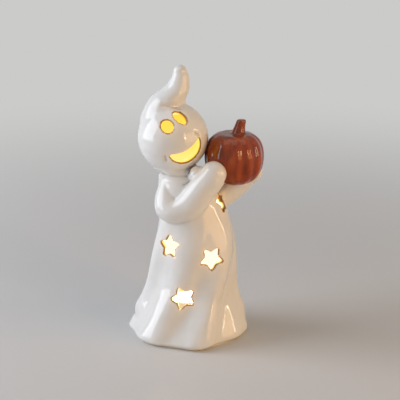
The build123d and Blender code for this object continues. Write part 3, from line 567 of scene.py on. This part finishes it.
def bunched_cloth():
    """Lump of clay that fills the corner under the chin, before the glaze rounds it in."""
    bpy.ops.object.select_all(action="DESELECT")
    place = AXIS + Vector(BUNCH_MM) * MM
    bpy.ops.mesh.primitive_ico_sphere_add(subdivisions=3, radius=BUNCH_RADIUS_MM * MM, location=place)
    bpy.ops.object.transform_apply(location=True, rotation=True, scale=True)
    return bpy.context.active_object


def round_with_glaze(ghost):
    """Smooths the casting as a flowed glaze does, less along the cuts, whose corners stay crisp."""
    mesh = ghost.data
    _, _, walls = hollow_side(mesh)
    points, _ = points_and_normals(mesh)
    cuts = nearest(points[walls])
    away = np.array([cuts.find(point)[2] / MM for point in points])
    group = ghost.vertex_groups.new(name="open_surface")
    for index in np.nonzero(away > 1.0)[0]:
        group.add([int(index)], float(np.clip((away[index] - 1.0) / 2.0, 0, 1)), "REPLACE")
    apply_modifier(ghost, "SMOOTH", factor=0.5, iterations=CUT_ROUNDING)
    apply_modifier(ghost, "SMOOTH", factor=0.5, iterations=GLAZE_ROUNDING, vertex_group="open_surface")
    ghost.vertex_groups.clear()


def round_hood(ghost, inside):
    """Runs the side of the hood into the round of the head, as one sweep of cloth."""
    points, _ = points_and_normals(ghost.data)
    place = (points - np.array(HEAD)) / MM
    weight = np.clip((HOOD_SIDE_MM - place[:, 0]) / HOOD_FADE_MM, 0, 1)
    weight *= np.clip((place[:, 2] - HOOD_LOW_MM) / HOOD_FADE_MM, 0, 1)
    weight *= np.clip((HOOD_HIGH_MM - place[:, 2]) / HOOD_FADE_MM, 0, 1) * ~inside
    group = ghost.vertex_groups.new(name="hood_side")
    for index in np.nonzero(weight > 0.01)[0]:
        group.add([int(index)], float(weight[index]), "REPLACE")
    apply_modifier(ghost, "SMOOTH", factor=0.5, iterations=HOOD_ROUNDING, vertex_group="hood_side")
    ghost.vertex_groups.clear()


def press_folds(mesh, inside, depth):
    """Presses the troughs of the hanging cloth into the robe and lifts its crests."""
    points, _ = points_and_normals(mesh)
    core = core_of(points)
    across = points - core
    radius = np.linalg.norm(across, axis=1)
    angle = np.degrees(np.arctan2(across[:, 0], -across[:, 1]))
    height = points[:, 2] / MM
    robe = height < FOLD_TOP_MM
    reach = np.interp(points[:, 2], *(np.array(REACH_MM).T * MM))
    robe &= radius < reach
    moved = np.zeros(len(points))
    for hem_angle, winding, lift, half_width, top in FOLDS:
        turn = (angle - hem_angle - winding * height + 180) % 360 - 180
        side = np.radians(turn) * radius / MM
        hem = np.clip(0.45 + height / 9, 0, 1) if lift < 0 else np.clip(height / 14 - 0.3, 0, 1)
        fade = np.clip((top - height) / (0.7 * top), 0, 1) * hem
        moved += lift * fade * np.exp(-(side / half_width) ** 2)
    for place, level, lift, half_width, half_height in SWELLINGS_MM:
        side = np.radians((angle - place + 180) % 360 - 180) * radius / MM
        moved += lift * np.exp(-(side / half_width) ** 2 - ((height - level) / half_height) ** 2)
    moved -= HEM_UNDERCUT_MM * np.clip(1 - height / HEM_EDGE_MM, 0, 1)
    foot = FOOT_RADIUS_MM - 3 * np.maximum(height - HEM_EDGE_MM, 0)
    moved = np.maximum(moved, np.minimum(foot - radius / MM, 0))
    moved[~robe | (inside & (depth > 1.5))] = 0
    points += across / radius[:, None] * (moved * MM)[:, None]
    mesh.vertices.foreach_set("co", points.ravel())
    mesh.update()


def press_line(mesh, places, deep, half_width):
    """Presses a line into the head along places given in mm from its middle."""
    points, normals = points_and_normals(mesh)
    nodes = np.array(HEAD) + np.array(places) * MM
    away = np.full(len(points), 1.0)
    for start, end in zip(nodes, nodes[1:]):
        run = end - start
        share = np.clip((points - start) @ run / (run @ run), 0, 1)
        away = np.minimum(away, np.linalg.norm(points - start - share[:, None] * run, axis=1))
    radial = points - np.array(HEAD)
    distance = np.linalg.norm(radial, axis=1)
    skin = distance > (HEAD_RADIUS_MM - 1.5) * MM
    dent = deep * MM * np.exp(-(away / (half_width * MM)) ** 2) * skin
    points -= normals * dent[:, None]
    mesh.vertices.foreach_set("co", points.ravel())
    mesh.update()


def press_neckline(mesh, inside):
    """Sets the head into the robe: a groove under the chin and the rolled edge of the cloth below it."""
    points, normals = points_and_normals(mesh)
    across = points - np.array(HEAD)
    across[:, 2] = 0
    radius = np.linalg.norm(across, axis=1)
    rise = (points[:, 2] - HEAD.z) / MM
    neck = (radius < NECK_RADIUS_MM * MM) & ~inside & (normals[:, 2] < 0.75)
    moved = np.zeros(len(points))
    for level, lift, half_width in NECKLINE_MM:
        moved += lift * np.exp(-((rise - level) / half_width) ** 2)
    moved[~neck] = 0
    points += across / np.maximum(radius, MM)[:, None] * (moved * MM)[:, None]
    mesh.vertices.foreach_set("co", points.ravel())
    mesh.update()


def thin_out_lining(ghost):
    """Coarser mesh on the lining, away from the cuts, where only the light inside is seen."""
    mesh = ghost.data
    inside, _, walls = hollow_side(mesh)
    points, _ = points_and_normals(mesh)
    cuts = nearest(points[walls])
    hidden = [int(index) for index in np.nonzero(inside & ~walls)[0]
              if cuts.find(points[index])[2] > 3 * MM]
    group = ghost.vertex_groups.new(name="shaded_lining")
    group.add(hidden, 1.0, "REPLACE")
    kept = 1 - (1 - LINING_KEPT) * len(hidden) / len(points)
    apply_modifier(ghost, "DECIMATE", ratio=kept, vertex_group="shaded_lining")
    ghost.vertex_groups.clear()


def cut_edge(mesh, inside, depth, walls):
    """Brown line along the rim of every cut, partly thin glaze and partly painted shade on the cut walls,
    1 on the rim and 0 away from it, and the glow beside it.
    """
    points, _ = points_and_normals(mesh)
    cuts = nearest(points[walls])
    away = np.array([cuts.find(point)[2] / MM for point in points])
    line = np.clip(1.7 - away / CUT_LINE_MM, 0, 1)
    line[inside] = 0
    line[walls] = np.clip(1.7 - depth[walls] / CUT_LINE_MM, 0, 1)
    beside = RIM_GLOW * np.exp(-away / RIM_GLOW_MM) * ~inside
    return line, beside


def glazed_ghost():
    """The shell with both arms luted on and one glaze over all, which rounds every edge and joint."""
    ghost = casting_of("ghost_shell", "glazed_ghost")
    arms = [casting_of(node, node + "_luted") for node in ("right_arm", "left_arm")]
    for arm in arms:
        apply_modifier(arm, "DISPLACE", mid_level=0.0, strength=LUTING_LAP_MM * MM, direction="NORMAL")
    arms.append(bunched_cloth())
    select_only(ghost, *arms)
    bpy.ops.object.join()
    apply_modifier(ghost, "REMESH", mode="VOXEL", voxel_size=CASTING_GRID_MM * MM, use_smooth_shade=True)
    round_with_glaze(ghost)
    mesh = ghost.data
    inside, depth, _ = hollow_side(mesh)
    round_hood(ghost, inside)
    press_folds(mesh, inside, depth)
    press_line(mesh, HOOD_CREASE_MM, HOOD_DEPTH_MM, HOOD_WIDTH_MM)
    for line in SMILE_LINES_MM:
        press_line(mesh, line, SMILE_DEPTH_MM, SMILE_WIDTH_MM)
    press_neckline(mesh, inside)
    thin_out_lining(ghost)
    points, _ = points_and_normals(mesh)
    points[:, 2] = np.maximum(points[:, 2], 0.0)
    mesh.vertices.foreach_set("co", points.ravel())
    mesh.update()
    inside, depth, walls = hollow_side(mesh)
    bend = bend_of(mesh, 1)
    # Painted shade in the creases.
    store(mesh, "pool_and_crease_shade", np.clip((-bend - 0.04) / 0.2, 0, 1) * ~inside)
    into_wall = np.clip((depth - 0.4) / 1.2, 0, 1) * (1.7 - 0.7 * np.clip((depth - 2.4) / 0.8, 0, 1))
    # Painted shade over the lining of the hollow and the cut walls.
    store(mesh, "shaded_lining", np.where(inside, np.clip(depth / CUT_LINE_MM, 0, 1), 0))
    store(mesh, "lamp_light", np.clip(lamp_light(mesh, inside) * into_wall, 0, 1))
    line, beside = cut_edge(mesh, inside, depth, walls)
    # Brown rim line: thin glaze, and painted shade on the cut walls.
    store(mesh, "cut_edge", line)
    store(mesh, "rim_glow", beside)
    mesh.materials.clear()
    mesh.materials.append(white_glaze())
    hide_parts("ghost_shell", "right_arm", "left_arm")
    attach(ghost, "figure")
    return ghost


def glazed_pumpkin():
    """The pumpkin with its stem under a brown glaze."""
    pumpkin = casting_of("pumpkin", "glazed_pumpkin")
    apply_modifier(pumpkin, "REMESH", mode="VOXEL", voxel_size=PUMPKIN_GRID_MM * MM,
                   use_smooth_shade=True)
    apply_modifier(pumpkin, "SMOOTH", factor=0.5, iterations=PUMPKIN_ROUNDING)
    mesh = pumpkin.data
    bend = bend_of(mesh, 2)
    store(mesh, "glaze_thin", np.clip((bend - 0.06) / 0.3, 0, 1))
    # Glaze pooling and painted shade in the grooves.
    store(mesh, "pool_and_crease_shade", np.clip((-bend - 0.005) / 0.1, 0, 1))
    mesh.materials.clear()
    mesh.materials.append(pumpkin_glaze())
    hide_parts("pumpkin")
    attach(pumpkin, "figure")
    return pumpkin


# Stage

def camera():
    """Camera at the photograph's angle and distance."""
    data = bpy.data.cameras.new("camera")
    data.sensor_width = SENSOR_MM
    data.lens = SENSOR_MM * CAMERA_DISTANCE_MM / (IMAGE_PIXELS * MM_PER_PIXEL)
    eye = bpy.data.objects.new("camera", data)
    bpy.context.scene.collection.objects.link(eye)
    back = Vector((0, -cos(radians(CAMERA_RISE)), sin(radians(CAMERA_RISE))))
    eye.location = AXIS + Vector(AIM_FROM_AXIS_MM) * MM + back * CAMERA_DISTANCE_MM * MM
    eye.rotation_mode = "QUATERNION"
    eye.rotation_quaternion = (-back).to_track_quat("-Z", "Y")
    bpy.context.scene.camera = eye


def softbox(name, place, size, watts, code):
    """Soft lamp that faces the figure's middle."""
    data = bpy.data.lights.new(name, "AREA")
    data.shape = "RECTANGLE"
    data.size, data.size_y = size
    data.energy = watts
    data.color = colour(code)[:3]
    lamp = bpy.data.objects.new(name, data)
    bpy.context.scene.collection.objects.link(lamp)
    lamp.location = place
    towards = Vector((0, 0, 90 * MM)) - lamp.location
    lamp.rotation_mode = "QUATERNION"
    lamp.rotation_quaternion = towards.to_track_quat("-Z", "Y")


def stage():
    """Pale floor that runs on into a pale background, and soft lamps."""
    bpy.ops.object.select_all(action="DESELECT")
    bpy.ops.mesh.primitive_plane_add(size=FLOOR_SIZE, location=(0, 0, FLOOR_LEVEL_MM * MM))
    floor = bpy.context.active_object
    floor.name = "floor"
    floor.data.materials.append(pale_floor())
    world = bpy.data.worlds.new("studio")
    bpy.context.scene.world = world
    world.use_nodes = True
    tree = world.node_tree
    tree.nodes.clear()
    dim = add_node(tree, "ShaderNodeBackground", None, {"Color": colour("#e8ecf2"), "Strength": 0.17})
    pale = add_node(tree, "ShaderNodeBackground", None, {"Color": colour(BACKGROUND), "Strength": 1.0})
    mix = add_node(tree, "ShaderNodeMixShader", None,
                   {0: seen_or_mirrored(tree), 1: dim.outputs[0], 2: pale.outputs[0]})
    add_node(tree, "ShaderNodeOutputWorld", None, {"Surface": mix.outputs[0]})
    softbox("left_window", (-0.95, -0.04, 0.4), (0.8, 1.0), 10.2, "#f3f6ff")
    softbox("right_wall", (0.8, -0.55, 0.22), (0.7, 0.5), 3.1, "#ffc074")
    softbox("right_strip", (0.58, -0.64, 0.34), (0.04, 0.3), 0.8, "#ffe2b4")
    softbox("right_slit", (0.85, -0.16, 0.24), (0.04, 0.42), 0.9, "#ffe2b4")
    softbox("top_fill", (0.0, -0.1, 1.1), (0.8, 0.8), 1.4, "#ffffff")
    softbox("under_fill", (-0.3, -0.6, -0.9), (0.8, 0.8), 6.0, "#ffffff")
    lamp_glow()


def lamp_glow():
    """The lamp's own light, low, so the unit below it and the cuts beside it are lit too."""
    data = bpy.data.lights.new("lamp_glow", "POINT")
    data.energy = LAMP_WATTS
    data.color = colour("#ffd894")[:3]
    data.shadow_soft_size = 3 * MM
    glow = bpy.data.objects.new("lamp_glow", data)
    bpy.context.scene.collection.objects.link(glow)
    glow.location = LAMP + Vector((0, 0, 8 * MM))


def seen_or_mirrored(tree):
    """1 for what the camera sees straight, in a shiny surface or through a clear one."""
    path = add_node(tree, "ShaderNodeLightPath").outputs
    seen = add_node(tree, "ShaderNodeMath", {"operation": "MAXIMUM"},
                    {0: path["Is Camera Ray"], 1: path["Is Glossy Ray"]})
    seen = add_node(tree, "ShaderNodeMath", {"operation": "MAXIMUM"},
                    {0: seen.outputs[0], 1: path["Is Transmission Ray"]})
    return seen.outputs[0]


def pale_floor():
    """Matt painted board: takes the figure's shadow near it, and is an even pale tone further off. From
    below, and within the foot ring, it is clear, so the light unit can be seen and is lit. Light also
    passes where it starts on the foot itself, so the foot isn't black from below."""
    material, tree, surface = new_material("pale_floor")
    surface.inputs["Base Color"].default_value = colour("#dddcda")
    surface.inputs["Roughness"].default_value = 0.7
    far = add_node(tree, "ShaderNodeVectorMath", {"operation": "LENGTH"}, {0: object_place(tree)})
    even = add_node(tree, "ShaderNodeMapRange", {"interpolation_type": "SMOOTHSTEP"},
                    {"Value": far.outputs["Value"], "From Min": 0.12, "From Max": 0.7})
    share = add_node(tree, "ShaderNodeMath", {"operation": "MULTIPLY"},
                     {0: seen_or_mirrored(tree), 1: even.outputs["Result"]})
    tone = add_node(tree, "ShaderNodeEmission", None, {"Color": colour(BACKGROUND), "Strength": 1.0})
    mix = add_node(tree, "ShaderNodeMixShader", None,
                   {0: share.outputs[0], 1: surface.outputs[0], 2: tone.outputs[0]})
    below = add_node(tree, "ShaderNodeNewGeometry").outputs["Backfacing"]
    off_axis = add_node(tree, "ShaderNodeVectorMath", {"operation": "DISTANCE"},
                        {0: object_place(tree), 1: AXIS})
    foot = add_node(tree, "ShaderNodeMath", {"operation": "LESS_THAN"},
                    {0: off_axis.outputs["Value"], 1: FLOOR_OPENING_MM * MM})
    open_part = add_node(tree, "ShaderNodeMath", {"operation": "MAXIMUM"},
                         {0: below, 1: foot.outputs[0]})
    reach = add_node(tree, "ShaderNodeLightPath").outputs["Ray Length"]
    contact = add_node(tree, "ShaderNodeMath", {"operation": "LESS_THAN"},
                       {0: reach, 1: FOOT_CONTACT_MM * MM})
    passing = add_node(tree, "ShaderNodeMath", {"operation": "MAXIMUM"},
                       {0: open_part.outputs[0], 1: contact.outputs[0]})
    clear = add_node(tree, "ShaderNodeBsdfTransparent")
    sided = add_node(tree, "ShaderNodeMixShader", None,
                     {0: passing.outputs[0], 1: mix.outputs[0], 2: clear.outputs[0]})
    tree.links.new(sided.outputs[0], tree.nodes["Material Output"].inputs["Surface"])
    return material


def dress_light_unit():
    """Finishes of the light unit's own pieces."""
    finishes = {
        moulded_plastic("moulded_abs", "#d6d4cd", "#dedcd6", 0.4, 0.45): (
            "unit_housing", "unit_cover", "battery_door"),
        moulded_plastic("moulded_black_nylon", "#1c1c1d", "#242425", 0.3, 0.5): (
            "switch_body", "switch_slider", "resistor"),
        moulded_plastic("soft_ring_rubber", "#bcbab3", "#c8c6c0", 0.25, 0.7): ("plug_ring",),
        moulded_plastic("red_pvc", "#8c1713", "#a01d17", 0.3, 0.35): ("battery_wire_red",),
        moulded_plastic("white_pvc", "#d2d0c9", "#dddbd5", 0.3, 0.35): ("switch_wire",),
        moulded_plastic("black_pvc", "#161617", "#1f1f20", 0.3, 0.35): ("battery_wire_black",),
        nickel_plate(): ("cover_screws", "led_leads", "contact_bridge", "contact_positive",
                         "contact_negative", "switch_terminals"),
        solder_mask(): ("circuit_board",),
        warm_epoxy(): ("led_lens",),
        cell_jacket(): ("cell_front", "cell_back"),
    }
    for finish, nodes in finishes.items():
        for node in nodes:
            NODES[node].data.materials.clear()
            NODES[node].data.materials.append(finish)


glazed_ghost()
glazed_pumpkin()
dress_light_unit()
camera()
stage()
bpy.context.scene.view_settings.view_transform = "Standard"
